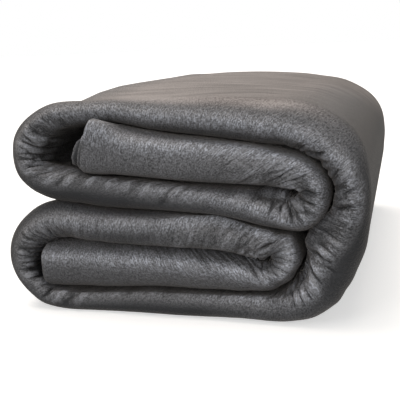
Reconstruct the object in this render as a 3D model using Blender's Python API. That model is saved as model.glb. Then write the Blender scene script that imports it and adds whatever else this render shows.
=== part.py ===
"""Folded felt welding blanket: one sheet, folded lengthwise to six layers, then crosswise."""

import math
from collections import namedtuple

import bmesh
import bpy

# Driving dimensions, in metres.
DEPTH = 0.406  # folded width, a sixth of the sheet's 2.44 m
FELT = 0.0032  # thickness of the felt where nothing presses on it
LAYERS = 6
PRESSED_SHARE = 0.86  # most of a layer's pitch that the felt fills where it is pressed
KNEE = 0.160  # depth at which the layers may bend between front and rear
OUTER_TUCK = 0.004  # gap between the layer that ends inside a rear fold and that fold
RAW_EDGE_SHORT = 0.003  # how far the loose cut edge stays short of the rear
END_BULGE = 0.009  # how far the inner layers stick out of the outer ones at a free end

# Segments of the mesh.
FRONT_STEPS = {5: 3, 3: 5, 1: 8}  # round a front fold, by how deep in the nest it lies
REAR_STEPS = {1: 4, 2: 4}  # round a rear fold, by how many pitches it spans
STEP_TURN = math.radians(24)  # most that one step along the strip turns
STEP_LENGTH = 0.062  # most that one step along the strip covers

# The strip's course, seen from the front: x and z of its middle, its thickness across all
# six layers, the direction from its inner to its outer face in degrees, and how far its
# front fold lies behind the foremost one.
Station = namedtuple("Station", "place x z thick lean back")
COURSE = (
    Station("upper tongue, free end", -0.0850, 0.1528, 0.0470, 75, 0.003),
    Station("upper tongue", -0.0550, 0.1508, 0.0460, 83, 0.003),
    Station("upper tongue", -0.0100, 0.1448, 0.0412, 82, 0.003),
    Station("upper tongue", 0.0300, 0.1409, 0.0368, 85, 0.003),
    Station("upper tongue", 0.0700, 0.1369, 0.0345, 85, 0.002),
    Station("upper inner fold, top", 0.0900, 0.1350, 0.0305, 80, 0.001),
    Station("upper inner fold", 0.1050, 0.1317, 0.0275, 60, 0.000),
    Station("upper inner fold", 0.1163, 0.1145, 0.0253, 0, 0.000),
    Station("upper inner fold", 0.1060, 0.0977, 0.0280, -60, 0.000),
    Station("upper inner fold, foot", 0.0850, 0.1005, 0.0340, -97, 0.000),
    Station("second leg", 0.0400, 0.1069, 0.0270, -97, 0.001),
    Station("second leg", 0.0000, 0.1091, 0.0263, -93, 0.001),
    Station("second leg", -0.0500, 0.1118, 0.0270, -94, 0.001),
    Station("second leg", -0.0850, 0.1143, 0.0268, -96, 0.001),
    Station("second leg", -0.1100, 0.1167, 0.0275, -98, 0.000),
    Station("upper nose", -0.1390, 0.1310, 0.0275, -140, 0.000),
    Station("upper nose", -0.1425, 0.1460, 0.0275, -182, 0.000),
    Station("upper nose", -0.1349, 0.1657, 0.0270, -226, 0.000),
    Station("upper nose, top", -0.1095, 0.1815, 0.0235, -258, 0.000),
    Station("top leg", -0.0700, 0.1862, 0.0152, -266, 0.000),
    Station("top leg", -0.0200, 0.1822, 0.0262, -274, 0.000),
    Station("top leg", 0.0300, 0.1779, 0.0340, -274, 0.000),
    Station("top leg", 0.0700, 0.1745, 0.0376, -278, 0.000),
    Station("spine", 0.1078, 0.1692, 0.0386, -292, 0.000),
    Station("spine", 0.1337, 0.1530, 0.0376, -320, 0.000),
    Station("spine", 0.1460, 0.1200, 0.0283, -356, 0.000),
    Station("spine", 0.1436, 0.0962, 0.0318, -368, 0.000),
    Station("spine", 0.1375, 0.0760, 0.0400, -374, 0.000),
    Station("spine", 0.1297, 0.0572, 0.0432, -381, 0.000),
    Station("spine", 0.1247, 0.0440, 0.0420, -393, 0.000),
    Station("spine", 0.1187, 0.0308, 0.0390, -405, 0.000),
    Station("spine", 0.1052, 0.0188, 0.0340, -417, 0.000),
    Station("spine, foot", 0.0935, 0.0143, 0.0282, -432, 0.000),
    Station("bottom leg", 0.0700, 0.0119, 0.0238, -450, 0.001),
    Station("bottom leg", -0.1020, 0.0102, 0.0204, -450, 0.001),
    Station("lower nose", -0.1335, 0.0128, 0.0185, -466, 0.000),
    Station("lower nose", -0.1484, 0.0218, 0.0202, -496, 0.000),
    Station("lower nose", -0.1588, 0.0480, 0.0278, -542, 0.000),
    Station("lower nose", -0.1450, 0.0740, 0.0320, -590, 0.000),
    Station("fourth leg", -0.1200, 0.0858, 0.0350, -623, 0.000),
    Station("fourth leg", -0.0900, 0.0830, 0.0322, -635, 0.000),
    Station("fourth leg", -0.0400, 0.0794, 0.0328, -633, 0.000),
    Station("fourth leg", 0.0300, 0.0766, 0.0312, -633, 0.000),
    Station("lower inner fold, top", 0.0674, 0.0703, 0.0270, -637, 0.001),
    Station("lower inner fold", 0.0744, 0.0686, 0.0276, -660, 0.001),
    Station("lower inner fold", 0.0837, 0.0670, 0.0380, -684, 0.002),
    Station("lower inner fold", 0.0869, 0.0575, 0.0366, -712, 0.002),
    Station("lower inner fold", 0.0835, 0.0482, 0.0316, -740, 0.003),
    Station("lower inner fold", 0.0752, 0.0412, 0.0267, -775, 0.004),
    Station("lower tongue", 0.0550, 0.0398, 0.0302, -806, 0.006),
    Station("lower tongue", 0.0300, 0.0420, 0.0345, -809, 0.006),
    Station("lower tongue", -0.0200, 0.0427, 0.0358, -810, 0.006),
    Station("lower tongue", -0.0900, 0.0442, 0.0412, -811, 0.005),
    Station("lower tongue, free end", -0.1290, 0.0446, 0.0396, -819, 0.004),
)

# How the bundle settles, as shares of its height.
REAR_SINK = 0.05  # lost from front to rear
CORNER_SINK = 0.075  # lost besides at the right rear corner
CORNER_SPAN = (-0.040, 0.150)  # x where that starts and where it is whole
LEFT_SWELL = 0.014  # gained on the left, at the knee
LEFT_SPAN = (0.060, -0.060)  # x where that starts and where it is whole
FRONT_DROOP = 0.5  # share of the swell by which the front edge hangs lower there

# Felt as the photograph shows it: charcoal, dull.
FELT_COLOUR = (0.060, 0.060, 0.062, 1.0)
FELT_ROUGHNESS = 0.95


def heading(lean):
    """Unit vector along the strip, a quarter turn clockwise from the lean."""
    angle = math.radians(lean - 90)
    return math.cos(angle), math.sin(angle)


def steps_between(first, last):
    """Steps that a stretch of the strip needs, by its turn and its length."""
    turn = math.radians(abs(last.lean - first.lean))
    length = math.hypot(last.x - first.x, last.z - first.z)
    return max(1, math.ceil(turn / STEP_TURN), math.ceil(length / STEP_LENGTH))


def between(first, last, share):
    """The strip between two stations: a cubic that leaves along one heading and arrives
    along the other, which is near enough an arc where they differ."""
    turn = math.radians(abs(last.lean - first.lean))
    chord = math.hypot(last.x - first.x, last.z - first.z)
    roundness = 2 * math.tan(turn / 4) / math.sin(turn / 2) if turn else 1.0
    pull = chord * roundness
    square, cube = share**2, share**3
    weights = (
        2 * cube - 3 * square + 1,
        cube - 2 * square + share,
        3 * square - 2 * cube,
        cube - square,
    )
    leave, arrive = heading(first.lean), heading(last.lean)
    x = (
        weights[0] * first.x
        + weights[1] * pull * leave[0]
        + weights[2] * last.x
        + weights[3] * pull * arrive[0]
    )
    z = (
        weights[0] * first.z
        + weights[1] * pull * leave[1]
        + weights[2] * last.z
        + weights[3] * pull * arrive[1]
    )
    ease = 3 * square - 2 * cube
    thick = first.thick + (last.thick - first.thick) * ease
    lean = first.lean + (last.lean - first.lean) * share
    back = first.back + (last.back - first.back) * ease
    return Station(first.place, x, z, thick, lean, back)


def strip_stations():
    """Every cross-section of the strip, from the upper free end to the lower one."""
    sections = []
    for first, last in zip(COURSE, COURSE[1:]):
        steps = steps_between(first, last)
        sections += [between(first, last, step / steps) for step in range(steps)]
    return sections + [COURSE[-1]]


def layer_course(thick):
    """The sheet's middle line across one section, as (offset, depth, normal offset, normal
    depth). It starts at the cut edge inside the rear fold, and ends at the loose one."""
    felt = felt_at(thick)
    pitch = (thick - felt) / (LAYERS - 1)
    offset = {layer: pitch * (layer - (LAYERS + 1) / 2) for layer in range(1, LAYERS + 1)}
    front = thick / 2
    rear_pair = DEPTH - (pitch + felt) / 2
    rear_wrap = DEPTH - pitch - felt / 2
    tucked_end = rear_wrap - OUTER_TUCK
    course = []

    def run(layer, start, stop):
        """One straight layer between two depths, by way of the knee."""
        side = 1 if stop < start else -1
        for depth in (start, KNEE, stop):
            course.append((offset[layer], depth, side, 0.0))

    def fold(leaves, enters, centre, steps, towards_rear):
        """The half round that joins two layers. Its ends belong to the straight layers."""
        middle = (offset[leaves] + offset[enters]) / 2
        radius = abs(offset[leaves] - offset[enters]) / 2
        down = 1 if offset[leaves] > offset[enters] else -1
        reach = 1 if towards_rear else -1
        outward = down * -reach
        for step in range(1, steps):
            angle = math.pi * step / steps
            across, along = down * math.cos(angle), reach * math.sin(angle)
            course.append(
                (
                    middle + radius * across,
                    centre + radius * along,
                    outward * across,
                    outward * along,
                )
            )

    run(5, tucked_end, front)
    fold(5, 2, front, FRONT_STEPS[3], False)
    run(2, front, rear_pair)
    fold(2, 1, rear_pair, REAR_STEPS[1], True)
    run(1, rear_pair, front)
    fold(1, 6, front, FRONT_STEPS[1], False)
    run(6, front, rear_wrap)
    fold(6, 4, rear_wrap, REAR_STEPS[2], True)
    run(4, rear_wrap, front)
    fold(4, 3, front, FRONT_STEPS[5], False)
    run(3, front, DEPTH - RAW_EDGE_SHORT)
    return course


def felt_at(thick):
    """Thickness of one layer where all six take up this much."""
    return min(FELT, PRESSED_SHARE * thick / LAYERS)


def ramp(value, span):
    """Nought before the span's start and one past its end, straight between."""
    start, end = span
    return min(1.0, max(0.0, (value - start) / (end - start)))


def height_kept(x, depth):
    """What the settling leaves of the height, over one place of the footprint."""
    to_rear = depth / DEPTH
    corner = ramp(x, CORNER_SPAN) ** 2 * to_rear
    rise = ramp(depth, (0.0, KNEE)) * (1 + FRONT_DROOP) - FRONT_DROOP
    fall = 1 - ramp(depth, (KNEE, DEPTH))
    swell = ramp(x, LEFT_SPAN) * rise * fall
    return 1 - REAR_SINK * to_rear - CORNER_SINK * corner + LEFT_SWELL * swell


def folded_point(section, spot, side, past_end):
    """Where one face of the felt lies after both foldings. Past a free end, the inner
    layers stick out further."""
    offset, depth, normal_offset, normal_depth = spot
    half = side * felt_at(section.thick) / 2
    across = offset + half * normal_offset
    along = depth + half * normal_depth
    along = section.back + along * (DEPTH - section.back) / DEPTH
    lean = math.radians(section.lean)
    forward = heading(section.lean)
    reach = past_end * END_BULGE * (1 - abs(2 * offset / section.thick) ** 2)
    x = section.x + across * math.cos(lean) + reach * forward[0]
    z = section.z + across * math.sin(lean) + reach * forward[1]
    z *= height_kept(x, along)
    return x, along - DEPTH / 2, z


def felt_sheet():
    """The flat sheet as a slab of grid cells, then folded point by point."""
    sections = strip_stations()
    courses = [layer_course(section.thick) for section in sections]
    across, along = len(courses[0]) - 1, len(sections) - 1
    slab = bmesh.new()
    bmesh.ops.create_grid(slab, x_segments=across, y_segments=along, size=0.5)
    bmesh.ops.solidify(slab, geom=slab.faces[:], thickness=1.0)
    middle = sum(vert.co.z for vert in slab.verts) / len(slab.verts)
    for vert in slab.verts:
        column = round((vert.co.x + 0.5) * across)
        row = round((vert.co.y + 0.5) * along)
        side = 1 if vert.co.z > middle else -1
        past_end = {0: -1, along: 1}.get(row, 0)
        vert.co = folded_point(sections[row], courses[row][column], side, past_end)
    if slab.calc_volume(signed=True) < 0:
        bmesh.ops.reverse_faces(slab, faces=slab.faces[:])
    middle_x = (min(v.co.x for v in slab.verts) + max(v.co.x for v in slab.verts)) / 2
    bmesh.ops.translate(slab, verts=slab.verts[:], vec=(-middle_x, 0, 0))
    mesh = bpy.data.meshes.new("blanket")
    slab.to_mesh(mesh)
    slab.free()
    return mesh


def felt_material():
    """Dull charcoal felt."""
    material = bpy.data.materials.new("charcoal_felt")
    material.use_nodes = True
    shader = material.node_tree.nodes["Principled BSDF"]
    shader.inputs["Base Color"].default_value = FELT_COLOUR
    shader.inputs["Roughness"].default_value = FELT_ROUGHNESS
    shader.inputs["Metallic"].default_value = 0.0
    return material


def main():
    for obj in list(bpy.data.objects):
        bpy.data.objects.remove(obj)
    collection = bpy.data.collections.new("welding_blanket")
    bpy.context.scene.collection.children.link(collection)
    blanket = bpy.data.objects.new("blanket", felt_sheet())
    blanket.data.materials.append(felt_material())
    collection.objects.link(blanket)


main()
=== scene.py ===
import math
from collections import namedtuple

import bpy
import numpy as np
from mathutils import Matrix


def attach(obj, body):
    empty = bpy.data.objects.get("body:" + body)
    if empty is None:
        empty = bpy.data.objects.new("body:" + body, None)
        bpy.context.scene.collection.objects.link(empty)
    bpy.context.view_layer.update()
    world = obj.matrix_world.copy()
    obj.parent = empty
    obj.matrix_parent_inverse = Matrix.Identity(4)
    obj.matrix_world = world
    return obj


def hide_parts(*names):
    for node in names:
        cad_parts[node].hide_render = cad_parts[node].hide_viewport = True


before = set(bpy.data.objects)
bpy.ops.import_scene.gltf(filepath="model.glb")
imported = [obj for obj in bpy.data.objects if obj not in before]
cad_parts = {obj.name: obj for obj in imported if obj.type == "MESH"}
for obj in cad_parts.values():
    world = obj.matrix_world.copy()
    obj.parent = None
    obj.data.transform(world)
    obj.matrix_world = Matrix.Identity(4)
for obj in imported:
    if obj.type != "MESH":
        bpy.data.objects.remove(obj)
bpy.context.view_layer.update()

# The strip's course, seen from the front: x and z of its middle, its thickness across all
# six layers, the direction from its inner to its outer face in degrees, and how far its
# front fold lies behind the foremost one.
Station = namedtuple("Station", "place x z thick lean back")
COURSE = (
    Station("upper tongue", -0.0850, 0.1528, 0.0470, 75, -0.005),
    Station("upper tongue", -0.0550, 0.1503, 0.0450, 83, -0.004),
    Station("upper tongue", -0.0100, 0.1440, 0.0405, 82, -0.002),
    Station("upper tongue", 0.0300, 0.1400, 0.0386, 85, 0.000),
    Station("upper tongue", 0.0700, 0.1369, 0.0345, 85, 0.001),
    Station("upper inner fold", 0.0900, 0.1350, 0.0305, 80, 0.001),
    Station("upper inner fold", 0.1050, 0.1317, 0.0275, 60, 0.000),
    Station("upper inner fold", 0.1163, 0.1145, 0.0253, 0, 0.000),
    Station("upper inner fold", 0.1060, 0.0977, 0.0280, -60, 0.000),
    Station("upper inner fold", 0.0850, 0.1005, 0.0340, -97, 0.000),
    Station("second leg", 0.0400, 0.1060, 0.0252, -97, 0.001),
    Station("second leg", 0.0000, 0.1084, 0.0250, -93, 0.001),
    Station("second leg", -0.0500, 0.1118, 0.0270, -94, 0.001),
    Station("second leg", -0.0850, 0.1143, 0.0268, -96, 0.001),
    Station("second leg", -0.1100, 0.1167, 0.0275, -98, 0.000),
    Station("upper nose", -0.1390, 0.1310, 0.0275, -140, 0.000),
    Station("upper nose", -0.1425, 0.1460, 0.0275, -182, 0.000),
    Station("upper nose", -0.1349, 0.1657, 0.0270, -226, 0.000),
    Station("upper nose", -0.1095, 0.1815, 0.0235, -258, 0.003),
    Station("top leg", -0.0700, 0.1850, 0.0185, -266, 0.008),
    Station("top leg", -0.0200, 0.1814, 0.0278, -274, 0.006),
    Station("top leg", 0.0300, 0.1779, 0.0340, -274, 0.005),
    Station("top leg", 0.0700, 0.1745, 0.0376, -278, 0.003),
    Station("spine", 0.1078, 0.1692, 0.0386, -292, 0.000),
    Station("spine", 0.1337, 0.1530, 0.0376, -320, 0.000),
    Station("spine", 0.1460, 0.1200, 0.0283, -356, 0.000),
    Station("spine", 0.1436, 0.0962, 0.0318, -368, 0.000),
    Station("spine", 0.1375, 0.0760, 0.0400, -374, 0.000),
    Station("spine", 0.1297, 0.0572, 0.0432, -381, 0.000),
    Station("spine", 0.1247, 0.0440, 0.0420, -393, 0.000),
    Station("spine", 0.1187, 0.0308, 0.0390, -405, 0.000),
    Station("spine", 0.1052, 0.0188, 0.0340, -417, 0.000),
    Station("spine", 0.0935, 0.0143, 0.0282, -432, 0.000),
    Station("bottom leg", 0.0700, 0.0112, 0.0224, -450, 0.001),
    Station("bottom leg", -0.0200, 0.0100, 0.0200, -450, 0.001),
    Station("bottom leg", -0.1020, 0.0078, 0.0155, -450, 0.001),
    Station("lower nose", -0.1335, 0.0110, 0.0165, -466, 0.000),
    Station("lower nose", -0.1484, 0.0218, 0.0202, -496, 0.000),
    Station("lower nose", -0.1588, 0.0480, 0.0278, -542, 0.000),
    Station("lower nose", -0.1450, 0.0740, 0.0320, -590, 0.000),
    Station("fourth leg", -0.1200, 0.0858, 0.0350, -623, 0.000),
    Station("fourth leg", -0.0900, 0.0830, 0.0322, -635, 0.000),
    Station("fourth leg", -0.0400, 0.0800, 0.0316, -633, 0.000),
    Station("fourth leg", 0.0300, 0.0772, 0.0300, -633, 0.000),
    Station("lower inner fold", 0.0674, 0.0703, 0.0270, -637, 0.001),
    Station("lower inner fold", 0.0758, 0.0685, 0.0276, -660, 0.001),
    Station("lower inner fold", 0.0883, 0.0692, 0.0260, -684, 0.002),
    Station("lower inner fold", 0.0927, 0.0579, 0.0250, -712, 0.002),
    Station("lower inner fold", 0.0870, 0.0473, 0.0250, -740, 0.003),
    Station("lower inner fold", 0.0768, 0.0407, 0.0262, -775, 0.004),
    Station("lower tongue", 0.0550, 0.0400, 0.0325, -806, 0.005),
    Station("lower tongue", 0.0300, 0.0416, 0.0380, -809, 0.005),
    Station("lower tongue", -0.0200, 0.0418, 0.0395, -810, 0.005),
    Station("lower tongue", -0.0900, 0.0408, 0.0455, -812, 0.003),
    Station("lower tongue", -0.1355, 0.0412, 0.0470, -816, 0.001),
)
MIDDLE_X = -0.0063  # middle of the folded bundle, in the course's own x

# Steps of the mesh along the strip.
FOLD_STEP = 0.00162  # where the strip turns
LEG_STEP = 0.00384  # where it runs straight
END_CELLS = 3  # more steps in the first stretch, for the rim of the free end
END_CROWDING = 1.5  # power that brings them together at that rim


def eased(value, start, end):
    """Nought at start, one at end, and smooth at both."""
    share = np.clip((value - start) / (end - start), 0, 1)
    return share * share * (3 - 2 * share)


def course_spots():
    """Places along the strip as station number plus share, closer together in the folds
    and at the rim of the upper free end."""
    spots = []
    for number, (first, last) in enumerate(zip(COURSE, COURSE[1:])):
        straight = first.place.endswith(("leg", "tongue"))
        chord = math.hypot(last.x - first.x, last.z - first.z)
        cells = max(1, round(chord / (LEG_STEP if straight else FOLD_STEP)))
        crowding = 1
        if number == 0:
            cells += END_CELLS
            crowding = END_CROWDING
        spots.append(number + (np.arange(cells) / cells) ** crowding)
    return np.concatenate(spots + [[len(COURSE) - 1.0]])


def strip_course(spot):
    """The strip's middle line and its cross-section at whole arrays of places. Between two
    stations it is a cubic that leaves along one heading and arrives along the other."""
    x, z, thick, lean, back = np.array([station[1:] for station in COURSE]).T
    lean = np.radians(lean)
    first = np.minimum(spot.astype(int), len(COURSE) - 2)
    last = first + 1
    share = spot - first
    turn = np.abs(lean[last] - lean[first])
    chord = np.hypot(x[last] - x[first], z[last] - z[first])
    safe = np.maximum(turn, 1e-6)
    pull = chord * 2 * np.tan(safe / 4) / np.sin(safe / 2)
    square, cube = share**2, share**3
    stay, leave = 2 * cube - 3 * square + 1, cube - 2 * square + share
    go, arrive = 3 * square - 2 * cube, cube - square

    def cubic(values, slopes_first, slopes_last):
        ends = stay * values[first] + go * values[last]
        return ends + leave * slopes_first + arrive * slopes_last

    ahead = lean - math.pi / 2
    x_line = cubic(x, pull * np.cos(ahead[first]), pull * np.cos(ahead[last]))
    z_line = cubic(z, pull * np.sin(ahead[first]), pull * np.sin(ahead[last]))
    whole = np.concatenate([[0], np.cumsum(np.hypot(np.diff(x), np.diff(z)))])
    slope = np.gradient(thick, whole)
    slope[1:-1][np.diff(thick)[1:] * np.diff(thick)[:-1] < 0] = 0
    thick_line = cubic(thick, chord * slope[first], chord * slope[last])
    lean_line = lean[first] + share * (lean[last] - lean[first])
    back_line = back[first] + go * (back[last] - back[first])
    return x_line, z_line, thick_line, lean_line, back_line


# The layers, across the strip.
DEPTH = 0.406  # folded width, a sixth of the sheet's 2.44 m
FELT = 0.0032  # thickness of the felt where nothing presses on it
LAYERS = 6
PRESSED_SHARE = 0.86  # most of a layer's pitch that pressed felt fills
OUTER_TUCK = 0.004  # gap between the layer that ends inside a rear fold and that fold
RAW_EDGE_SHORT = 0.003  # how far the loose cut edge stays short of the rear

# Cells of the mesh on a layer's straight run, with the power that brings them closer
# together at the front, and cells round each fold, by the layers that it joins.
Run = namedtuple("Run", "cells crowding")
LOWEST, HIDDEN, TOP = Run(8, 1 / 0.55), Run(3, 2.1), Run(10, 1.8)
FOLD_CELLS = {(5, 2): 8, (2, 1): 3, (1, 6): 20, (6, 4): 4, (4, 3): 7}


def layer_course(thick):
    """The sheet's middle line across the strip, as offset and depth. Each row is one place
    on that line, worked out for the whole strip. Straight runs are joined by half rounds."""
    felt = np.minimum(FELT, PRESSED_SHARE * thick / LAYERS)
    pitch = (thick - felt) / (LAYERS - 1)
    front = thick / 2
    rear_pair = DEPTH - (pitch + felt) / 2
    rear_wrap = DEPTH - pitch - felt / 2
    rows = []

    def run(layer, kind, rear, rearwards):
        """One layer between the front and a depth at the rear. Its cells widen rearwards
        as a power of their number."""
        offset = pitch * (layer - (LAYERS + 1) / 2)
        for step in range(kind.cells + 1):
            share = (step if rearwards else kind.cells - step) / kind.cells
            rows.append((offset, front + (rear - front) * share**kind.crowding))

    def fold(leaves, enters, centre, rearwards):
        """The half round that joins two layers, without its ends."""
        middle = pitch * ((leaves + enters - LAYERS - 1) / 2)
        radius = pitch * (leaves - enters) / 2
        reach = np.abs(radius) if rearwards else -np.abs(radius)
        cells = FOLD_CELLS[leaves, enters]
        for step in range(1, cells):
            angle = math.pi * step / cells
            rows.append((middle + radius * math.cos(angle), centre + reach * math.sin(angle)))

    run(5, HIDDEN, rear_wrap - OUTER_TUCK, False)
    fold(5, 2, front, False)
    run(2, HIDDEN, rear_pair, True)
    fold(2, 1, rear_pair, True)
    run(1, LOWEST, rear_pair, False)
    fold(1, 6, front, False)
    run(6, TOP, rear_wrap, True)
    fold(6, 4, rear_wrap, True)
    run(4, HIDDEN, rear_wrap, False)
    fold(4, 3, front, False)
    run(3, HIDDEN, DEPTH - RAW_EDGE_SHORT, True)
    offset, depth = (np.array(values) for values in zip(*rows))
    return offset, depth, felt, pitch


# Creases, listed one by one: a trough runs on the cloth from one place to another, or a ridge
# where the depth has a minus. Places are the distance along the strip and the distance
# round the front fold from its foremost line, both in millimetres, as are the trough's
# half width and its depth.
Crease = namedtuple("Crease", "along_1 round_1 along_2 round_2 width depth")
CREASES = (
    # Right part of the upper tongue.
    Crease(172.7, -10, 187.0, 7, 1.8, 2.2),
    Crease(186.0, -10, 197.0, 7, 1.8, 2.2),
    Crease(160.0, -8, 178.0, 3, 1.7, 1.4),
    Crease(152.0, 3, 170.0, 12, 1.7, -1.0),
    # Spokes of the upper inner fold.
    Crease(203.0, -12, 211.5, 4, 2.2, 3.2),
    Crease(220.0, -10, 218.5, 4, 1.8, 1.9),
    Crease(232.5, -17, 227.0, -1, 2.4, -3.2),
    Crease(237.5, -15, 232.0, 0, 1.6, 2.6),
    Crease(241.0, -14, 242.5, 0, 2.0, 2.9),
    Crease(246.0, -10, 246.0, 1, 1.5, -1.7),
    Crease(250.5, -11, 251.0, 1, 1.8, 2.6),
    Crease(258.0, -11, 259.5, 3, 1.8, 1.9),
    # Long soft folds of the second leg.
    Crease(351.5, 2, 333.0, -17, 2.4, -1.9),
    Crease(374.0, 0, 360.0, -15, 2.4, -1.7),
    Crease(390.0, -3, 377.0, -17, 2.2, -1.5),
    Crease(357.0, 6, 339.0, -12, 3.0, 1.1),
    Crease(405.5, -4, 395.0, -19, 2.0, -2.0),
    Crease(425.0, -5, 413.0, -18, 2.2, -1.8),
    Crease(447.5, -3, 434.5, -16, 2.0, -2.0),
    Crease(455.5, -2, 444.0, -13, 1.8, 1.4),
    Crease(466.0, -1, 451.0, -16, 2.2, -2.2),
    # Spokes of the upper nose.
    Crease(486.9, 1, 472.0, -18, 2.0, -2.5),
    Crease(490.0, -2, 477.0, -22, 2.0, 2.6),
    Crease(498.0, -6, 493.0, -30, 2.0, 2.6),
    Crease(504.5, -1, 502.0, -30, 2.2, 3.2),
    Crease(510.8, -1, 508.0, -24, 2.0, -2.2),
    Crease(514.0, -6, 512.0, -26, 1.6, 1.9),
    Crease(525.0, 6, 524.0, -13, 1.6, -2.3),
    Crease(529.5, 2, 530.0, -15, 2.4, 2.2),
    # Steps and spokes of the spine.
    Crease(773.5, -22, 782.0, -6, 1.9, 2.2),
    Crease(790.0, -18, 797.5, -6, 2.0, 2.3),
    Crease(829.5, -8, 820.0, 1, 1.6, -1.4),
    Crease(833.0, -1, 820.5, 4, 1.5, -1.3),
    Crease(841.5, -9, 834.0, 4, 2.0, 2.3),
    Crease(855.0, -16, 849.0, 4, 2.6, 3.3),
    Crease(874.5, -23, 880.5, -1, 2.2, 2.6),
    Crease(878.5, -15, 884.5, 6, 1.6, -1.7),
    Crease(892.0, -20, 894.8, -2, 2.0, -2.0),
    Crease(897.0, -20, 900.0, 1, 2.2, 2.5),
    Crease(906.0, -23, 914.5, -2, 2.2, -2.5),
    Crease(902.5, -9, 907.0, 6, 1.8, 1.3),
    Crease(914.0, -18, 920.5, -1, 2.0, 2.3),
    Crease(921.5, -14, 930.0, 1, 2.4, -2.2),
    Crease(935.0, -14, 937.0, 0, 2.0, 2.3),
    Crease(938.5, -16, 941.5, 0, 1.7, -1.9),
    Crease(942.0, -19, 945.0, -1, 1.8, 2.5),
    Crease(945.5, -18, 949.0, 0, 1.6, -1.9),
    Crease(950.0, -18, 954.0, -2, 1.8, 2.2),
    # Ticks along the bottom leg, and spokes of the lower nose.
    Crease(1172.5, -12, 1183.0, 3, 2.2, -3.2),
    Crease(1162.0, -11, 1173.5, 4, 2.2, 2.8),
    Crease(1151.0, -11, 1161.0, 4, 2.2, -3.0),
    Crease(1186.0, -14, 1195.0, 2, 2.2, 3.0),
    Crease(1200.0, -17, 1208.0, -4, 1.8, -1.9),
    Crease(1216.0, -19, 1219.5, -3, 1.8, -2.0),
    Crease(1224.0, -20, 1229.5, 2, 2.2, 2.9),
    Crease(1236.0, -20, 1238.5, 2, 1.8, -1.7),
    Crease(1248.5, -20, 1247.0, 2, 1.8, -1.9),
    Crease(1252.5, -20, 1251.5, 2, 1.8, 2.0),
    Crease(1268.0, -12, 1264.0, 6, 2.0, 2.0),
    Crease(1276.5, -9, 1272.0, 5, 1.8, 1.7),
    # Spokes of the lower inner fold, and the drawn right part of the lower tongue.
    Crease(1483.0, -9, 1498.0, 11, 2.2, 3.8),
    Crease(1502.0, -8, 1506.0, 11, 1.7, -1.9),
    Crease(1509.0, -8, 1511.5, 11, 1.7, -1.9),
    Crease(1515.0, -9, 1516.0, 10, 1.7, -1.7),
    Crease(1521.0, -12, 1524.0, 9, 1.8, -1.7),
    Crease(1527.0, -13, 1532.0, 6, 1.8, -1.7),
    Crease(1551.0, -13, 1538.0, -2, 2.0, -1.4),
    Crease(1562.0, -12, 1546.0, 2, 2.2, 1.4),
)

# Hollows, and swells with a minus, in the same terms: wide soft ones between the rolls.
HOLLOWS = (
    Crease(236.0, -17, 280.0, -17, 8.0, 6.0),  # what the upper inner fold turns about
    Crease(425.0, -22, 487.0, -27, 8.0, -6.0),  # in the mouth of the upper nose
    Crease(858.0, -27, 906.0, -27, 10.0, -8.0),  # the spine, behind the two inner folds
    Crease(908.0, -25, 946.0, -23, 6.0, 4.0),  # and below them
    Crease(1358.0, 17, 1417.0, 17, 6.0, 1.5),  # top of the fourth leg
    Crease(1460.0, -8, 1496.0, -8, 7.0, 3.0),  # what the lower inner fold turns about
)
CREASE_LIPS = 0.6  # how far a crease pushes up the cloth beside it, as a share of its depth
CREASE_FADE = 0.6  # share of a crease's half length over which it dies out


def creased(table, lips, along, around):
    """How far the creases of a table lift the cloth: each is a bell curve across its line,
    downwards, with raised lips of the given share, and dies out at both ends."""
    total = np.zeros_like(along)
    for crease in table:
        run_x = crease.along_2 - crease.along_1
        run_y = crease.round_2 - crease.round_1
        length = math.hypot(run_x, run_y)
        rel_x, rel_y = along * 1000 - crease.along_1, around * 1000 - crease.round_1
        share = (rel_x * run_x + rel_y * run_y) / length**2
        aside = (rel_y * run_x - rel_x * run_y) / length / crease.width
        ends = eased(1 - np.abs(2 * share - 1), 0, CREASE_FADE)
        total += ends * crease.depth * (lips * aside**2 - 1) * np.exp(-(aside**2))
    return total / 1000
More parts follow.
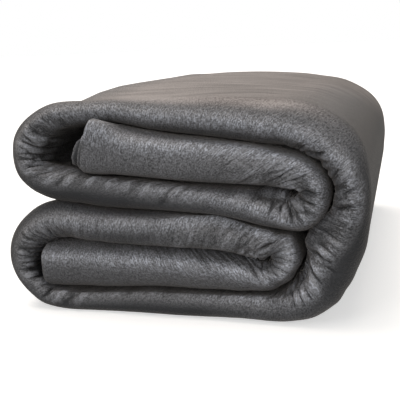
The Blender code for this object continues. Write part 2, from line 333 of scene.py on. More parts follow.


# The crest: the line along which each roll is pressed a little flat above and below, so
# that the cloth turns more sharply there. It wanders round the front fold from place to
# place. On it the felt is painted pale, partly as rubbed wear and partly as painted highlight,
# and to each side it is painted dark, as painted shade where the rolls cover each other.
# Places are in millimetres, the rest are shares.
Crest = namedtuple("Crest", "along around rubbed outer_dark inner_dark")
CRESTS = (
    # Upper tongue and its inner fold.
    Crest(0, 12.0, 0.8, 0.0, 0.0),
    Crest(62, 11.0, 0.8, 0.0, 0.0),
    Crest(106, 14.0, 1.0, 0.0, 0.0),
    Crest(150, 15.5, 1.0, 0.2, 0.0),
    Crest(178, 10.0, 1.0, 0.2, 0.0),
    Crest(200, 5.0, 0.9, 0.3, 0.2),
    Crest(222, 5.0, 0.7, 0.9, 0.4),
    Crest(244, 5.0, 0.7, 0.8, 0.4),
    # Second leg.
    Crest(263, 1.0, 0.7, 0.7, 0.6),
    Crest(285, -2.5, 0.8, 0.7, 0.6),
    Crest(320, -6.0, 0.5, 0.7, 0.7),
    Crest(384, -9.5, 0.1, 0.9, 0.8),
    Crest(432, -12.0, 0.0, 1.0, 0.8),
    Crest(460, -9.0, 0.0, 1.0, 0.7),
    # Upper nose.
    Crest(487, -3.0, 0.1, 1.0, 0.2),
    Crest(525, 2.0, 0.0, 0.9, 0.1),
    Crest(560, 1.0, 0.3, 0.6, 0.8),
    # Top leg: its outer side is open.
    Crest(640, -1.0, 0.5, 0.4, 0.8),
    Crest(714, -2.0, 0.7, 0.4, 0.8),
    Crest(764, -5.0, 0.8, 0.2, 0.8),
    # Spine.
    Crest(800, -6.0, 0.5, 0.2, 0.6),
    Crest(819, 0.0, 0.5, 0.6, 0.6),
    Crest(836, 2.5, 0.6, 0.9, 0.6),
    Crest(856, 3.0, 0.6, 1.0, 0.5),
    Crest(877, 0.0, 0.2, 1.0, 0.5),
    Crest(895, -6.0, 0.4, 0.9, 0.3),
    Crest(915, -9.0, 0.5, 0.9, 0.3),
    Crest(935, -6.0, 0.6, 0.7, 0.3),
    Crest(960, -9.0, 0.3, 0.5, 0.6),
    # Bottom leg.
    Crest(990, -12.5, 0.5, 0.5, 0.7),
    Crest(1040, -12.5, 0.2, 1.0, 0.6),
    Crest(1110, -12.5, 0.0, 1.0, 0.6),
    # Lower nose.
    Crest(1165, -10.0, 0.1, 0.9, 0.8),
    Crest(1200, -6.0, 0.0, 1.0, 0.9),
    Crest(1240, -3.0, 0.0, 1.0, 0.9),
    Crest(1275, 0.0, 0.0, 1.0, 0.8),
    # Fourth leg.
    Crest(1320, 4.0, 0.5, 0.6, 0.6),
    Crest(1360, 6.0, 0.5, 0.9, 0.7),
    Crest(1385, 8.0, 0.6, 0.7, 0.7),
    Crest(1415, 12.0, 0.8, 0.4, 0.2),
    Crest(1447, 20.0, 1.0, 0.0, 0.1),
    Crest(1468, 18.0, 1.0, 0.0, 0.1),
    Crest(1482, 15.0, 1.0, 0.0, 0.0),
    # Lower inner fold and lower tongue.
    Crest(1500, 11.0, 0.5, 0.6, 0.7),
    Crest(1515, 6.0, 0.5, 0.7, 0.7),
    Crest(1532, 3.0, 0.4, 0.7, 0.7),
    Crest(1560, -5.0, 1.0, 0.2, 0.3),
    Crest(1620, -8.0, 1.0, 0.2, 0.2),
    Crest(1700, -12.0, 0.7, 0.3, 0.0),
    Crest(1800, -13.0, 0.7, 0.3, 0.0),
)
CREST_TURN = math.radians(40)  # how far to each side of it the roll is pressed flat
CREST_SOFT = math.radians(7)  # the round that is left on the crest itself


def table_line(table, column, along):
    """One column of a table, at places along the strip in metres. The table's own places
    are in millimetres."""
    places = [row.along for row in table]
    return np.interp(along * 1000, places, [getattr(row, column) for row in table])


def off_crest(along, around):
    """Distance round the fold from the crest, towards the strip's outer side."""
    return around - table_line(CRESTS, "around", along) / 1000


def crest_height(along, around, half):
    """How far the cloth stands out between a roll's two flattened sides. Each is a plane
    that meets the other at the crest, so the height is one over a cosine, less one."""
    angle = np.hypot(off_crest(along, around) / half, CREST_SOFT)
    return half * (1 / np.cos(np.maximum(CREST_TURN - angle, 0)) - 1)


# The slant of wrinkles and fibres, as the shift along the strip for each step round the
# fold towards its outer side, and the share of fine wrinkles. The first column is in
# millimetres.
Slant = namedtuple("Slant", "along shift wrinkled")
SLANTS = (
    # Upper tongue and its inner fold.
    Slant(0, 0.0, 0.1),
    Slant(100, 0.3, 0.1),
    Slant(150, 1.2, 0.6),
    Slant(175, 1.2, 0.9),
    Slant(200, 0.6, 0.9),
    Slant(228, -0.2, 0.8),
    Slant(245, 0.2, 0.8),
    # Second leg and upper nose.
    Slant(300, 0.3, 0.5),
    Slant(340, 1.2, 0.9),
    Slant(400, 1.1, 0.8),
    Slant(450, 1.4, 1.0),
    Slant(480, 0.8, 1.0),
    Slant(505, 0.15, 1.0),
    Slant(530, -0.3, 1.0),
    # Top leg and spine.
    Slant(620, 0.0, 0.2),
    Slant(720, 0.3, 0.2),
    Slant(785, 0.5, 0.8),
    Slant(825, -0.6, 1.0),
    Slant(860, -0.1, 1.0),
    Slant(885, 0.25, 0.9),
    Slant(950, 0.35, 0.9),
    # Bottom leg and lower nose.
    Slant(1050, 0.5, 0.4),
    Slant(1120, 0.9, 0.6),
    Slant(1170, 1.2, 1.0),
    Slant(1215, 0.3, 1.0),
    Slant(1245, 0.0, 1.0),
    Slant(1270, -0.4, 1.0),
    # Fourth leg, lower inner fold and lower tongue.
    Slant(1340, 0.2, 0.4),
    Slant(1450, 0.3, 0.6),
    Slant(1488, 0.7, 1.0),
    Slant(1520, 0.2, 1.0),
    Slant(1560, -0.7, 1.0),
    Slant(1600, -1.1, 0.8),
    Slant(1660, -0.6, 0.5),
    Slant(1740, 0.0, 0.1),
)
FOLD_END = 0.030  # distance round from the foremost line at which a front fold is over


def drawn_place(along, around):
    """Place along the strip, shifted so that it is constant along a slanting wrinkle. The
    wrinkles slant only on the front fold."""
    on_fold = np.clip(around, -FOLD_END, FOLD_END)
    return along - on_fold * table_line(SLANTS, "shift", along)


# Gathers: where the strip turns, its inner side is too long and rises in ridges.
GATHER_SPACING = 0.0060  # from ridge to ridge, on the strip's middle
GATHER_HEIGHT = 0.0034
GATHER_SHARPNESS = 1.4  # power that makes the ridges narrower than the troughs
GATHER_SUNK = 0.42  # how much of a ridge's height lies below the plain fold
GATHER_EVEN = 0.60  # share of the height that is the same all over
GATHER_REACH = 0.045  # how far the ridges run back from the front fold
GATHER_BEND = (0.06, 0.34)  # half thickness over bend radius where they start, and are whole
TAUT_STRETCH = 1.45  # length on a bend, over that of its middle, at which nothing gathers
SLACK = 0.8  # how much less it is where the cloth gathers fully
GATHER_START = (-0.004, 0.008)  # and from where to where they rise, inwards of the crest

# Unevenness: its height, the size of its cells along the strip and round the fold, in
# metres, and the seed of its random draw. The first three heights are shares, the others
# metres.
Uneven = namedtuple("Uneven", "height length width seed")
WANDER = Uneven(0.9, 0.026, 0.022, 11)  # how the ridges leave their even spacing
WANDER_FINE = Uneven(0.35, 0.009, 0.013, 12)
PATCHY = Uneven(0.60, 0.017, 0.012, 13)  # how their height varies
SLOW = Uneven(0.0007, 0.045, 0.020, 14)  # how the rolls swell and sink
DENTS = Uneven(0.0007, 0.010, 0.014, 15)  # between the wrinkles
FINE = Uneven(0.0014, 0.0032, 0.012, 16)  # small ridges on the gathers
LATTICE = 256  # cells of a random draw each way
LATTICE_START = 64  # cell that lies at the strip's start and at the foremost line
DENTS_LEAST = 0.1  # share of the dents that is left where the cloth is smooth
DENTS_TAUT = 0.8  # share of the dents that is drawn out, outside the crest
DENTS_FADE = 0.010  # distance over which that comes about


def unevenness(kind, along, around):
    """Smooth irregular swelling to plus and minus its height: random values on a lattice,
    blended with the same ease both ways."""
    values = np.random.default_rng(kind.seed).uniform(-1, 1, (LATTICE, LATTICE))
    column, row = along / kind.length + LATTICE_START, around / kind.width + LATTICE_START
    left, low = np.floor(column).astype(int), np.floor(row).astype(int)
    right_share, high_share = eased(column - left, 0, 1), eased(row - low, 0, 1)
    left, low = left % (LATTICE - 1), low % (LATTICE - 1)
    bottom = values[low, left] * (1 - right_share) + values[low, left + 1] * right_share
    top = values[low + 1, left] * (1 - right_share) + values[low + 1, left + 1] * right_share
    return kind.height * (bottom * (1 - high_share) + top * high_share)


BLUR_STEP = 0.001


def smoothed(values, along, spread):
    """Values along the strip blurred with a bell curve of the given spread, at even steps
    and out to three spreads."""
    even = np.arange(0, along[-1] + BLUR_STEP, BLUR_STEP)
    reach = np.arange(-3 * spread, 3 * spread + BLUR_STEP / 2, BLUR_STEP)
    bell = np.exp(-((reach / spread) ** 2) / 2)
    margin = len(bell) // 2
    padded = np.pad(np.interp(even, along, values), margin, mode="edge")
    blurred = np.convolve(padded, bell / bell.sum(), mode="same")
    return np.interp(along, even, blurred[margin:margin + len(even)])


def gather_share(bend, stretch, inwards):
    """How much the cloth gathers. It grows with the bend and towards the bend's inner side,
    and begins at the crest: outside it the cloth is drawn tight and smooth."""
    share = eased(bend, *GATHER_BEND) * np.clip((TAUT_STRETCH - stretch) / SLACK, 0, 1)
    return share * eased(inwards, *GATHER_START)


def near_front(around, fold_end):
    """One as far round the front fold as given, and falling behind that as a bell curve."""
    behind = np.maximum(np.abs(around) - fold_end, 0)
    return np.exp(-((behind / GATHER_REACH) ** 2))


def wrinkle_height(along, around, gathered, near):
    """How far gathers, dents and creases stand out of the rolls. A gather's height is a
    sine wave raised to a power, with its place shifted to and fro."""
    drawn = drawn_place(along, around)
    wander = unevenness(WANDER, drawn, around) + unevenness(WANDER_FINE, drawn, around)
    wave = 0.5 + 0.5 * np.sin(2 * math.pi * (drawn / GATHER_SPACING + wander))
    ridges = wave**GATHER_SHARPNESS - GATHER_SUNK
    patchy = GATHER_EVEN + unevenness(PATCHY, along, around)
    gathers = GATHER_HEIGHT * gathered * ridges * patchy
    fine = gathered * unevenness(FINE, drawn, around)
    wrinkled = table_line(SLANTS, "wrinkled", along)
    dents = unevenness(DENTS, drawn, around)
    dents *= np.clip(wrinkled - DENTS_LEAST, DENTS_LEAST, 1)
    dents *= 1 - DENTS_TAUT * eased(off_crest(along, around), 0.0, DENTS_FADE)
    return (gathers + fine + dents) * near + creased(CREASES, CREASE_LIPS, along, around)


# How the bundle settles, as shares of its height.
REAR_SINK = 0.05  # lost from front to rear
CORNER_SINK = 0.075  # lost besides at the right rear corner
CORNER_SPAN = (-0.040, 0.150)  # x where that starts and is whole
LEFT_HOLLOW = 0.028  # lost on the left, just behind the front edge
LEFT_SWELL = 0.014  # gained there further back
LEFT_SPAN = (0.060, -0.060)  # x where those start and are whole
HOLLOW_FROM = (0.005, 0.045)  # depth where the hollow starts and is whole
SWELL_FROM = (0.05, 0.160)  # the same of the swell, which takes the hollow's place


def height_kept(x, depth):
    """What the settling leaves of the height, over each place of the footprint: it sinks to
    the rear and most at the rear right corner, and dips and swells again on the left."""
    to_rear = depth / DEPTH
    corner = np.clip((x - CORNER_SPAN[0]) / (CORNER_SPAN[1] - CORNER_SPAN[0]), 0, 1) ** 2
    hollow = eased(depth, *HOLLOW_FROM) * (1 - eased(depth, *SWELL_FROM))
    swell = eased(depth, *SWELL_FROM) * (1 - eased(depth, SWELL_FROM[1], DEPTH))
    left = eased(x, *LEFT_SPAN) * (LEFT_SWELL * swell - LEFT_HOLLOW * hollow)
    return 1 - REAR_SINK * to_rear - CORNER_SINK * corner * to_rear + left


# How the free ends stand, over the last stretch of the strip. The upper one is cut back
# towards its top. Its inner layers reach further out than the outer ones and sink on them.
END_STRETCH = 0.045
UPPER_REACH = 0.0155  # how far the innermost layer reaches out
UPPER_TAPER = 1.3  # power by which the layers round it fall back
UPPER_SHORT = 0.0035  # how far the outer layers end short of the first station
UPPER_SLANT = 0.0150  # how much further their top is cut back
UPPER_GAP = 0.19  # space that is left between the layers where they sink on each other
CORNER_FORWARD = 0.009  # how far the upper corner turns out
CORNER_UP = 0.0235  # and how far it rises
CORNER_DEPTH = 0.013  # how far behind the front that dies out
CORNER_MIDDLE = 0.35  # share of it at the end's middle height
LOWER_HOLLOW = 0.001  # how far the lower end's inner layers stay back


def end_reach(to_upper, to_lower, above, nested):
    """How far the cloth is moved along the strip at its free ends, by how high it lies in
    the end, from -1 to 1, and how far out in the nest of layers, from nought to one."""
    slant = UPPER_SHORT + UPPER_SLANT * np.clip(0.5 + 0.5 * above, 0, 1) ** 3
    upper = UPPER_REACH * (1 - nested) ** UPPER_TAPER - slant
    return -to_upper * upper - to_lower * LOWER_HOLLOW * (1 - above**2)


def corner_share(to_upper, above, depth):
    """How much the upper corner of the upper end is turned out: as the square of the height
    in the end, and as a bell curve of the depth."""
    share = np.clip(CORNER_MIDDLE + (1 - CORNER_MIDDLE) * above, 0, 1)
    return to_upper * share**2 * np.exp(-((depth / CORNER_DEPTH) ** 2))


# The folded cloth as whole arrays, over the sheet's width and the strip's length: points on
# its middle surface, the distances along the strip and round the fold, how far out it lies
# in the nest of layers, the height of its wrinkles, and its thickness.
Cloth = namedtuple("Cloth", "points along around nested wrinkles felt")
TURN_SPREAD = 0.008  # over how much of the strip a turn of the layers is felt
BEND_SPREAD = 0.010  # and how sharp it is


def folded_cloth(spot):
    """The sheet after both foldings. A point is the strip's middle, plus its offset along
    the lean, at its depth. Relief grows the front fold's nest of layers all alike, so that
    no layer cuts another."""
    x, z, thick, lean, back = strip_course(spot)
    offset, depth, felt, pitch = layer_course(thick)
    along = np.concatenate([[0], np.cumsum(np.hypot(np.diff(x), np.diff(z)))])
    half, outer = thick / 2, pitch * (LAYERS - 1) / 2
    turning = smoothed(np.gradient(lean, along), along, TURN_SPREAD)
    bend = smoothed(np.abs(turning) * half, along, BEND_SPREAD)
    to_upper = 1 - eased(along, 0.0, END_STRETCH)
    to_lower = eased(along, along[-1] - END_STRETCH, along[-1])
    along = np.broadcast_to(along, offset.shape)

    ahead = np.maximum(half - depth, 0)
    angle = np.arctan2(offset, ahead)
    around = half * angle + np.sign(offset) * np.maximum(depth - half, 0)
    nested = np.minimum(np.hypot(offset, ahead) / outer, 1)

    near = near_front(around, half * math.pi / 2)
    gathered = gather_share(bend, 1 - turning * offset, -off_crest(along, around))
    wrinkles = wrinkle_height(along, around, gathered, near)
    rolls = crest_height(along, around, half) + unevenness(SLOW, along, around) * near
    rolls += creased(HOLLOWS, 0, along, around)
    below = 0.5 - 0.5 * np.sin(angle)
    sunk = (1 - UPPER_GAP * (1 - nested)) / nested - 1
    grown = (1 + (rolls + wrinkles) / outer) * (1 + to_upper * below * sunk)
    offset = offset * grown
    depth = depth - ahead * (grown - 1)

    above = offset / outer
    reach = end_reach(to_upper, to_lower, above, nested)
    corner = corner_share(to_upper, above, depth)
    depth = back + depth * (DEPTH - back) / DEPTH - CORNER_FORWARD * corner
    place_x = x + offset * np.cos(lean) + reach * np.sin(lean)
    place_z = z + offset * np.sin(lean) - reach * np.cos(lean) + CORNER_UP * corner
    place_z = np.maximum(place_z * height_kept(place_x, depth), felt / 2)
    points = np.stack([place_x - MIDDLE_X, depth - DEPTH / 2, place_z], axis=-1)
    felt = np.broadcast_to(felt, offset.shape)
    return Cloth(points, along, around, nested, wrinkles, felt)


def closed_sheet(points, felt):
    """Both faces of the felt, half its thickness to each side of the middle surface along
    its normal, and a band of quads round the four edges."""
    normal = np.cross(np.gradient(points, axis=1), np.gradient(points, axis=0))
    normal /= np.maximum(np.linalg.norm(normal, axis=-1, keepdims=True), 1e-12)
    shift = normal * felt[..., None] / 2
    verts = np.concatenate([(points + shift).reshape(-1, 3), (points - shift).reshape(-1, 3)])
    size = felt.size
    number = np.arange(size).reshape(felt.shape)
    cell = number[:-1, :-1], number[:-1, 1:], number[1:, 1:], number[1:, :-1]
    face = np.stack(cell, axis=-1).reshape(-1, 4)
    rim = np.concatenate([number[0, :-1], number[:-1, -1], number[-1, :0:-1], number[:0:-1, 0]])
    after = np.roll(rim, -1)
    band = np.stack([after, rim, rim + size, after + size], axis=1)
    quads = np.concatenate([face, face[:, ::-1] + size, band])
    return verts, quads


def signed_volume(verts, quads):
    """Volume inside the faces, from the tetrahedra that they span with the origin."""
    a, b, c, d = (verts[quads[:, corner]] for corner in range(4))
    return float((np.cross(b - a, c - a) * a + np.cross(c - a, d - a) * a).sum() / 6)


def mesh_of(name, verts, quads):
    """A mesh from whole arrays of corners and quads, smooth shaded, faces outwards."""
    if signed_volume(verts, quads) < 0:
        quads = quads[:, ::-1]
    mesh = bpy.data.meshes.new(name)
    mesh.vertices.add(len(verts))
    mesh.vertices.foreach_set("co", verts.ravel())
    mesh.loops.add(quads.size)
    mesh.loops.foreach_set("vertex_index", quads.ravel())
    mesh.polygons.add(len(quads))
    mesh.polygons.foreach_set("loop_start", np.arange(len(quads)) * 4)
    mesh.update(calc_edges=True)
    mesh.polygons.foreach_set("use_smooth", np.ones(len(quads), bool))
    mesh.validate()
    return mesh


sheet = folded_cloth(course_spots())
felt_mesh = mesh_of("felt_sheet", *closed_sheet(sheet.points, sheet.felt))

# Distances on the cloth, in metres: its fibres and streaks follow the folds, and lean with
# the wrinkles.
loop_vert = np.empty(len(felt_mesh.loops), int)
felt_mesh.loops.foreach_get("vertex_index", loop_vert)
drawn_along = drawn_place(sheet.along, sheet.around)
cloth_map = np.stack([drawn_along.ravel(), sheet.around.ravel()], axis=1)
cloth_map = np.concatenate([cloth_map, cloth_map])
cloth_uv = felt_mesh.uv_layers.new(name="cloth")
cloth_uv.data.foreach_set("uv", cloth_map[loop_vert].ravel())

# What wear has done to the felt, and where light and shade are painted on it, place by
# place. Spans are in metres, along the strip or round the fold, from where a thing starts to
# where it is whole.
RUBBED_AND_LIT_WIDTH = 0.007  # of the pale line along a crest, partly rubbed wear and partly painted highlight
RAISED_FULL = 0.0016  # height of a ridge that takes the full painted highlight, and depth of a trough that takes the full painted shade
INNER_SIDE = (0.008, -0.006)  # from where to where fine wrinkles start, round from the crest
SHADE_ROUND = (0.001, 0.014)  # how far from the crest the painted shade between the rolls starts and is whole
GROOVE_EDGE = (0.0003, 0.0022)  # painted shadow in the gaps between the rims of the inner layers at the upper free end
GROOVE_END = (0.016, 0.008)
GROOVE_NESTED = (0.96, 0.66)  # how far out in the nest of layers those lie
SIDE_SHADE = 0.90  # share of painted shade on the spine's side, which turned down from the open upper one
SIDE_START = (0.765, 0.812)
SIDE_END = (0.95, 0.90)
SIDE_ROUND = (0.012, 0.030)
OPEN_START = (0.53, 0.60)  # the open upper side
OPEN_END = (0.800, 0.740)
OPEN_ROUND = (0.006, 0.018)
OPEN_FURTHER = 0.05  # how much further along it reaches at the rear
OPEN_FURTHER_ROUND = (0.20, 0.42)


def wrinkled_share(cloth):
    """Where the cloth is finely wrinkled: on the front folds, inwards of their crests."""
    inner_side = eased(off_crest(cloth.along, cloth.around), *INNER_SIDE)
    wrinkled = table_line(SLANTS, "wrinkled", cloth.along)
    return wrinkled * inner_side * near_front(cloth.around, FOLD_END)


def rubbed_and_lit_share(cloth):
    """Where the felt is painted pale, partly as rubbed wear and partly as painted highlight:
    along the crests, as a bell curve across them.
    """
    across = off_crest(cloth.along, cloth.around) / RUBBED_AND_LIT_WIDTH
    return table_line(CRESTS, "rubbed", cloth.along) * np.exp(-(across**2))


def painted_shade_share(cloth):
    """Where shade is painted on the felt: between the rolls, on the side that turned down from
    the open upper one, and as painted shadow in the gaps between the layers at the free end."""
    across = off_crest(cloth.along, cloth.around)
    outer_dark = table_line(CRESTS, "outer_dark", cloth.along)
    inner_dark = table_line(CRESTS, "inner_dark", cloth.along)
    # Painted shade between the rolls, on each side of the crest.
    between = np.where(across > 0, outer_dark, inner_dark)
    between = between * eased(np.abs(across), *SHADE_ROUND)
    between = between * near_front(cloth.around, FOLD_END)
    # Painted shade on the spine's side that turned down from the open upper one.
    side = eased(cloth.along, *SIDE_START) * eased(cloth.along, *SIDE_END)
    side = side * eased(cloth.around, *SIDE_ROUND)
    # Painted shadow in the gaps between the layers at the upper free end.
    groove = eased(cloth.along, *GROOVE_EDGE) * eased(cloth.along, *GROOVE_END)
    groove = groove * eased(cloth.nested, *GROOVE_NESTED)
    return np.maximum(np.maximum(between, SIDE_SHADE * side), groove)


def faded_and_lit_share(cloth):
    """Where the felt takes the open upper side's colour, its own faded brown and painted light:
    on the open upper side, which ends further on at the rear.
    """
    further = OPEN_FURTHER * eased(cloth.around, *OPEN_FURTHER_ROUND)
    open_side = eased(cloth.along, *OPEN_START) * eased(cloth.along - further, *OPEN_END)
    return open_side * eased(cloth.around, *OPEN_ROUND)


# Besides wear, these carry painted light and shade. The crest line's pale share is partly painted
# highlight, and the dark share is painted shade. The open side's share is partly painted light,
# and the ridges' height sets painted highlight and shade.
wear = {
    "wrinkled": wrinkled_share(sheet),
    "rubbed": rubbed_and_lit_share(sheet),
    "painted_shade": painted_shade_share(sheet),
    "faded_and_lit": faded_and_lit_share(sheet),
    "raised": np.clip(sheet.wrinkles / RAISED_FULL, -1, 1),
}
for name, share in wear.items():
    both_faces = np.concatenate([share.ravel()] * 2).astype(np.float32)
    felt_mesh.attributes.new(name, "FLOAT", "POINT").data.foreach_set("value", both_faces)


def from_hex(text):
    """An sRGB colour, written as six hex digits, as the linear colour that shaders take:
    each channel over 12.92 where it is dark, and else raised to the power 2.4."""
    parts = (int(text[place:place + 2], 16) / 255 for place in (0, 2, 4))
    return tuple(p / 12.92 if p < 0.04045 else ((p + 0.055) / 1.055) ** 2.4 for p in parts) + (1,)


def set_inputs(node, values):
    """Sets a node's inputs by name."""
    for name, value in values.items():
        node.inputs[name].default_value = value


def add_node(tree, kind, settings=(), links=()):
    """One node with its settings and its links. A key is an input's name or number, or
    else a setting of the node. A link comes from an output, or from a node's first one."""
    node = tree.nodes.new(kind)
    for key, value in dict(settings).items():
        if isinstance(key, int) or key in node.inputs:
            node.inputs[key].default_value = value
        else:
            setattr(node, key, value)
    for key, source in dict(links).items():
        output = source.outputs[0] if isinstance(source, bpy.types.Node) else source
        tree.links.new(output, node.inputs[key])
    return node


# The felt's patterns: each lies on the cloth, with its cell's size along the strip and round
# the fold in metres, or in the bundle's x, y and z. Single fibres are some hundredths of a
# millimetre thick, too fine to show, and are drawn as locks and knots of a millimetre.
Pattern = namedtuple("Pattern", "lies_on size detail distortion")
PATTERNS = {
    "lock": Pattern("cloth", (0.0011, 0.0026, 1.0), 2.0, 0.0),
    "knot": Pattern("place", (0.0014, 0.0014, 0.0014), 2.0, 0.0),
    "web": Pattern("place", (0.022, 0.022, 0.022), 3.0, 0.0),
    "wrinkle": Pattern("cloth", (0.0036, 0.0180, 1.0), 2.5, 0.6),
    "edge": Pattern("cloth", (0.0024, 0.0110, 1.0), 1.5, 0.4),
    "band": Pattern("place", (0.090, 0.012, 1.0), 3.0, 0.0),
}
FIBRE_HEIGHT = 0.0009
WRINKLE_HEIGHT = 0.0022
FELT_DARK, FELT_PALE = "39393a", "8d8d90"
SHADE_DARK = "2a2b2e"  # painted shade, where the rolls and the layers shade each other
FADED_AND_LIT_DARK, FADED_AND_LIT_PALE = "6b6462", "b5adaa"  # the open upper side, a little faded and brown, and painted paler besides, as light falling on it
RUBBED_GLINT_PALE = "d3d7e2"  # painted glint lines along the crests, on fibres rubbed smooth
BLOOM = "d2c8be"  # the loose fibres on the surface, seen at a low angle
RUBBED_AND_LIT_LIGHTER = 0.34  # how much paler the crest line is painted besides, as rubbed wear and painted highlight, of the way to the palest
RIDGE_HIGHLIGHT = 0.60  # and a full ridge, as painted highlight, and a full trough as much darker, as painted shade
RIDGE_GLINT = 0.8  # how much a ridge adds to the painted glint lines
TROUGH_SHADE = 0.75  # how far a full trough takes the dark colour of painted shade
FADED_AND_LIT_FLECKS = 0.75  # contrast of the fibres on the open side
BAND_CONTRAST = 1.9
MIX_FIRST, MIX_SECOND, MIXED = 6, 7, 2  # sockets of a Mix node for colours


def felt_patterns(tree, lies_on):
    """The noise of each pattern, stretched to its cell's size."""
    noises = {}
    for name, pattern in PATTERNS.items():
        stretched = add_node(tree, "ShaderNodeMapping",
                             {"Scale": tuple(1 / size for size in pattern.size)},
                             {"Vector": lies_on[pattern.lies_on]})
        noises[name] = add_node(tree, "ShaderNodeTexNoise",
                                {"Scale": 1.0, "Detail": pattern.detail,
                                 "Distortion": pattern.distortion},
                                {"Vector": stretched})
    return noises


def rubbed_and_lit_colour(tree, noises, wear_at, fibres, tone):
    """The front folds' colour, with painted light and shade. Ridges are painted paler as
    highlight and troughs darker as shade, in the folds and in the fine wrinkles. Painted glints,
    strongest on the palest fibres, run in broken lines along the crests."""
    # Thicker and thinner parts of the web, seen as faint clouds.
    cloudy = add_node(tree, "ShaderNodeMapRange",
                      {"From Min": 0.3, "From Max": 0.7, "To Min": -0.05, "To Max": 0.05},
                      {"Value": noises["web"]})
    mottled = add_node(tree, "ShaderNodeMath", {"operation": "ADD"}, {0: tone, 1: cloudy})
    # Painted light and shade on the fine wrinkles: paler on their ridges, darker in their
    # troughs.
    fine_wrinkle_light_and_shade = add_node(tree, "ShaderNodeMapRange",
                          {"From Min": 0.3, "From Max": 0.7, "To Min": -0.58, "To Max": 0.58},
                          {"Value": noises["wrinkle"]})
    fine_share = add_node(tree, "ShaderNodeMath", {"operation": "MULTIPLY"},
                          {0: fine_wrinkle_light_and_shade, 1: wear_at["wrinkled"]})
    # Ridges painted paler as highlight and troughs darker as shade, from the height of the
    # relief.
    ridge_light_and_shade = add_node(tree, "ShaderNodeMath", {"operation": "MULTIPLY_ADD", 1: RIDGE_HIGHLIGHT},
                     {0: wear_at["raised"], 2: fine_share})
    toned = add_node(tree, "ShaderNodeMath", {"operation": "ADD"}, {0: mottled, 1: ridge_light_and_shade})
    pale = add_node(tree, "ShaderNodeMath",
                    {"operation": "MULTIPLY_ADD", "use_clamp": True, 1: RUBBED_AND_LIT_LIGHTER},
                    {0: wear_at["rubbed"], 2: toned})
    plain = add_node(tree, "ShaderNodeMix",
                     {"data_type": "RGBA", MIX_FIRST: from_hex(FELT_DARK),
                      MIX_SECOND: from_hex(FELT_PALE)},
                     {0: pale})
    bright = add_node(tree, "ShaderNodeMapRange",
                      {"From Min": 0.92, "From Max": 1.16, "To Min": 0.15, "To Max": 1.0},
                      {"Value": fibres})
    # The painted glint lines lie where the pattern of thin lines crosses its middle value.
    off_edge = add_node(tree, "ShaderNodeMath", {"operation": "SUBTRACT", 1: 0.5},
                        {0: noises["edge"]})
    from_edge = add_node(tree, "ShaderNodeMath", {"operation": "ABSOLUTE"}, {0: off_edge})
    line = add_node(tree, "ShaderNodeMapRange",
                    {"From Min": 0.09, "From Max": 0.0, "To Min": 0.22, "To Max": 1.15},
                    {"Value": from_edge})
    broken = add_node(tree, "ShaderNodeMath", {"operation": "MULTIPLY"}, {0: bright, 1: line})
    # How much painted glint a place gets: on the pale crest line, and more on ridges.
    wear_and_glint = add_node(tree, "ShaderNodeMath",
                    {"operation": "MULTIPLY_ADD", "use_clamp": True, 1: RIDGE_GLINT},
                    {0: ridge_light_and_shade, 2: wear_at["rubbed"]})
    shine = add_node(tree, "ShaderNodeMath", {"operation": "MULTIPLY"}, {0: broken, 1: wear_and_glint})
    rubbed = add_node(tree, "ShaderNodeMix",
                      {"data_type": "RGBA", MIX_SECOND: from_hex(RUBBED_GLINT_PALE)},
                      {0: shine, MIX_FIRST: plain.outputs[MIXED]})
    return rubbed.outputs[MIXED]


def faded_and_lit_colour(tree, noises, place, tone):
    """The open upper side's colour: faded brown felt, painted paler besides as light falling on
    it, clouded in long soft bands, and painted palest on the left.
    """
    across = add_node(tree, "ShaderNodeSeparateXYZ", {}, {"Vector": place})
    # Painted light: the open side is painted paler towards the left.
    lit_leftwards = add_node(tree, "ShaderNodeMapRange",
                         {"From Min": 0.15, "From Max": -0.13, "To Min": -1.05, "To Max": -0.50},
                         {"Value": across.outputs["X"]})
    clouds = add_node(tree, "ShaderNodeMath", {"operation": "MULTIPLY_ADD", 1: BAND_CONTRAST},
                      {0: noises["band"], 2: lit_leftwards})
    clouded = add_node(tree, "ShaderNodeMath",
                       {"operation": "MULTIPLY_ADD", "use_clamp": True, 1: FADED_AND_LIT_FLECKS},
                       {0: tone, 2: clouds})
    faded_and_lit = add_node(tree, "ShaderNodeMix",
                     {"data_type": "RGBA", MIX_FIRST: from_hex(FADED_AND_LIT_DARK),
                      MIX_SECOND: from_hex(FADED_AND_LIT_PALE)},
                     {0: clouded})
    return faded_and_lit.outputs[MIXED]


def painted_shade_over(tree, wear_at, rubbed):
    """The front folds' colour with painted shade: a dark colour between the rolls, on the
    turned-down side and in the gaps at the free end. A trough takes more of it, as painted shade,
    and a ridge less."""
    # Painted shade: a trough takes more of the dark colour, a ridge less.
    trough_shade = add_node(tree, "ShaderNodeMath",
                      {"operation": "MULTIPLY_ADD", "use_clamp": True, 1: -TROUGH_SHADE},
                      {0: wear_at["raised"], 2: wear_at["painted_shade"]})
    darkest = add_node(tree, "ShaderNodeMath", {"operation": "MAXIMUM"},
                       {0: trough_shade, 1: wear_at["painted_shade"]})
    deep = add_node(tree, "ShaderNodeMix",
                    {"data_type": "RGBA", MIX_SECOND: from_hex(SHADE_DARK)},
                    {0: darkest, MIX_FIRST: rubbed})
    return deep.outputs[MIXED]


def felt_relief(tree, noises, wear_at, fibres):
    """Fine wrinkles of a millimetre where the cloth gathers, and over them the locks and
    knots, which stand up by a fraction of a millimetre."""
    creasing = add_node(tree, "ShaderNodeMath", {"operation": "MULTIPLY"},
                        {0: noises["wrinkle"], 1: wear_at["wrinkled"]})
    folds = add_node(tree, "ShaderNodeBump", {"Strength": 1.0, "Distance": WRINKLE_HEIGHT},
                     {"Height": creasing})
    lift = add_node(tree, "ShaderNodeBump", {"Strength": 1.0, "Distance": FIBRE_HEIGHT},
                    {"Height": fibres, "Normal": folds})
    return lift.outputs[0]


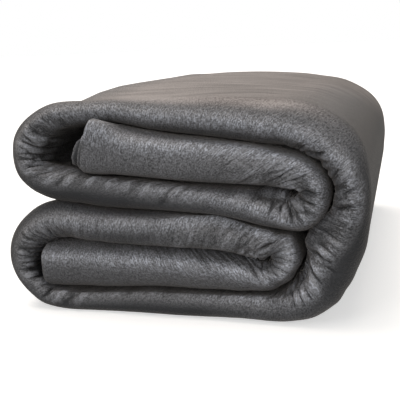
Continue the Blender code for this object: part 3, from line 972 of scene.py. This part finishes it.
def charcoal_felt():
    """Needle-punched felt of charcoal and paler fibres: dull, with a soft bloom at a low angle
    and a little gloss all over. Its colour holds painted light and shade: painted glints along
    the crests, painted highlight on ridges and painted shade between the rolls."""
    material = bpy.data.materials.new("charcoal_felt")
    material.use_nodes = True
    tree = material.node_tree
    shader = tree.nodes["Principled BSDF"]
    set_inputs(shader, {
        "Roughness": 0.44, "Specular IOR Level": 0.60, "Sheen Weight": 0.30,
        "Sheen Roughness": 0.40, "Sheen Tint": from_hex(BLOOM),
    })
    place = add_node(tree, "ShaderNodeTexCoord").outputs["Object"]
    on_cloth = add_node(tree, "ShaderNodeUVMap", {"uv_map": "cloth"}).outputs["UV"]
    noises = felt_patterns(tree, {"cloth": on_cloth, "place": place})
    wear_at = {
        name: add_node(tree, "ShaderNodeAttribute", {"attribute_name": name}).outputs["Fac"]
        for name in wear
    }
    fibres = add_node(tree, "ShaderNodeMath", {"operation": "ADD"},
                      {0: noises["lock"], 1: noises["knot"]})
    tone = add_node(tree, "ShaderNodeMapRange",
                    {"From Min": 0.74, "From Max": 1.30, "To Min": 0.0, "To Max": 1.0},
                    {"Value": fibres})
    rubbed = rubbed_and_lit_colour(tree, noises, wear_at, fibres, tone)
    # The open upper side's colour, faded brown and partly painted light, over the front folds'
    # colour with its painted shade and highlights.
    colour = add_node(tree, "ShaderNodeMix", {"data_type": "RGBA"}, {
        0: wear_at["faded_and_lit"],
        MIX_FIRST: painted_shade_over(tree, wear_at, rubbed),
        MIX_SECOND: faded_and_lit_colour(tree, noises, place, tone),
    })
    tree.links.new(colour.outputs[MIXED], shader.inputs["Base Color"])
    tree.links.new(felt_relief(tree, noises, wear_at, fibres), shader.inputs["Normal"])
    return material


def ready(piece_name, mesh, material):
    """The finished piece as an object at the origin."""
    piece = bpy.data.objects.new(piece_name, mesh)
    mesh.materials.append(material)
    bpy.context.scene.collection.objects.link(piece)
    return piece


blanket = ready("felt_sheet", felt_mesh, charcoal_felt())
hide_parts("blanket")
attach(blanket, "root")

# The tabletop: a plain board painted matt white, flat and level, which runs off on all
# sides. The blanket only lies on it. It glows a little, and so stays white in weak light.
TABLE_HALF = 6.0
TABLE_GLOW = 0.50
corners = [(x * TABLE_HALF, y * TABLE_HALF, 0) for x, y in ((-1, -1), (1, -1), (1, 1), (-1, 1))]
table_mesh = bpy.data.meshes.new("tabletop")
table_mesh.from_pydata(corners, [], [(0, 1, 2, 3)])
table_paint = bpy.data.materials.new("matt_white_board")
table_paint.use_nodes = True
set_inputs(table_paint.node_tree.nodes["Principled BSDF"], {
    "Base Color": from_hex("f4f4f3"), "Roughness": 0.9,
    "Emission Color": from_hex("ffffff"), "Emission Strength": TABLE_GLOW,
})
tabletop = ready("tabletop", table_mesh, table_paint)
tabletop.visible_diffuse = False  # it throws no light back up under the folds
tabletop.visible_glossy = False

# The camera: near the blanket's front, a little to the right, looking slightly down, and
# tilted a little. Its place is given from the point that it looks at.
AZIMUTH = 17.1  # degrees, as are the next two
ELEVATION = 14.5
ROLL = -3.2
DISTANCE = 0.568
TARGET = (0.0283, -0.203, 0.110)
FRAME_PIXELS = 400.0  # width of the image
FOCAL_PIXELS = 680.0  # focal length, in the same pixels
SENSOR = 36.0  # millimetres
turn, rise, tilt = (math.radians(angle) for angle in (AZIMUTH, ELEVATION, ROLL))
towards = np.array([
    math.sin(turn) * math.cos(rise), -math.cos(turn) * math.cos(rise), math.sin(rise),
])
level = np.cross(-towards, [0, 0, 1])
level /= np.linalg.norm(level)
upright = np.cross(towards, level)
right = math.cos(tilt) * level + math.sin(tilt) * upright
up = -math.sin(tilt) * level + math.cos(tilt) * upright
eye = np.array(TARGET) + towards * DISTANCE
camera = bpy.data.objects.new("camera", bpy.data.cameras.new("camera"))
placed = np.identity(4)
placed[:3] = np.column_stack([right, up, towards, eye])
camera.matrix_world = Matrix(placed.tolist())
camera.data.sensor_width = SENSOR
camera.data.lens = FOCAL_PIXELS / FRAME_PIXELS * SENSOR
camera.data.clip_start = 0.01
bpy.context.scene.collection.objects.link(camera)
bpy.context.scene.camera = camera

# The light: slightly warm lamps high up on the left and behind, for the open upper side,
# weaker and nearly neutral ones in front, and a white room that gives little light itself.
# A lamp's bearing is degrees round from the front, its height degrees above the table.
Lamp = namedtuple("Lamp", "name bearing height width power colour")
LAMPS = (
    Lamp("top", 0, 88, 30, 0.205, "fff6ee"),
    Lamp("high left", -90, 68, 30, 0.195, "fff6ee"),
    Lamp("left behind", -135, 60, 30, 0.195, "fff6ee"),
    Lamp("high front", -30, 42, 30, 0.11, "fdfcfb"),
    Lamp("front", 0, 16, 30, 0.17, "fbfbfd"),
    Lamp("level front", -5, 4, 12, 0.10, "fbfbfd"),
)
ROOM_LIGHT = 0.29
for lamp in LAMPS:
    light = bpy.data.lights.new(lamp.name, "SUN")
    light.energy = lamp.power * math.pi
    light.angle = math.radians(lamp.width)
    light.color = from_hex(lamp.colour)[:3]
    holder = bpy.data.objects.new(lamp.name, light)
    holder.rotation_euler = (math.radians(90 - lamp.height), 0, math.radians(lamp.bearing))
    bpy.context.scene.collection.objects.link(holder)
room = bpy.data.worlds.new("white_room")
room.use_nodes = True
room_tree = room.node_tree
room_light = room_tree.nodes["Background"]
set_inputs(room_light, {"Color": from_hex("fcfbf9"), "Strength": ROOM_LIGHT})
room_white = add_node(room_tree, "ShaderNodeBackground", {"Color": from_hex("ffffff")})
seen = add_node(room_tree, "ShaderNodeLightPath")
both = add_node(room_tree, "ShaderNodeMixShader", {},
                {0: seen.outputs["Is Camera Ray"], 1: room_light, 2: room_white})
room_tree.links.new(both.outputs[0], room_tree.nodes["World Output"].inputs["Surface"])
bpy.context.scene.world = room
bpy.context.scene.view_settings.view_transform = "Standard"
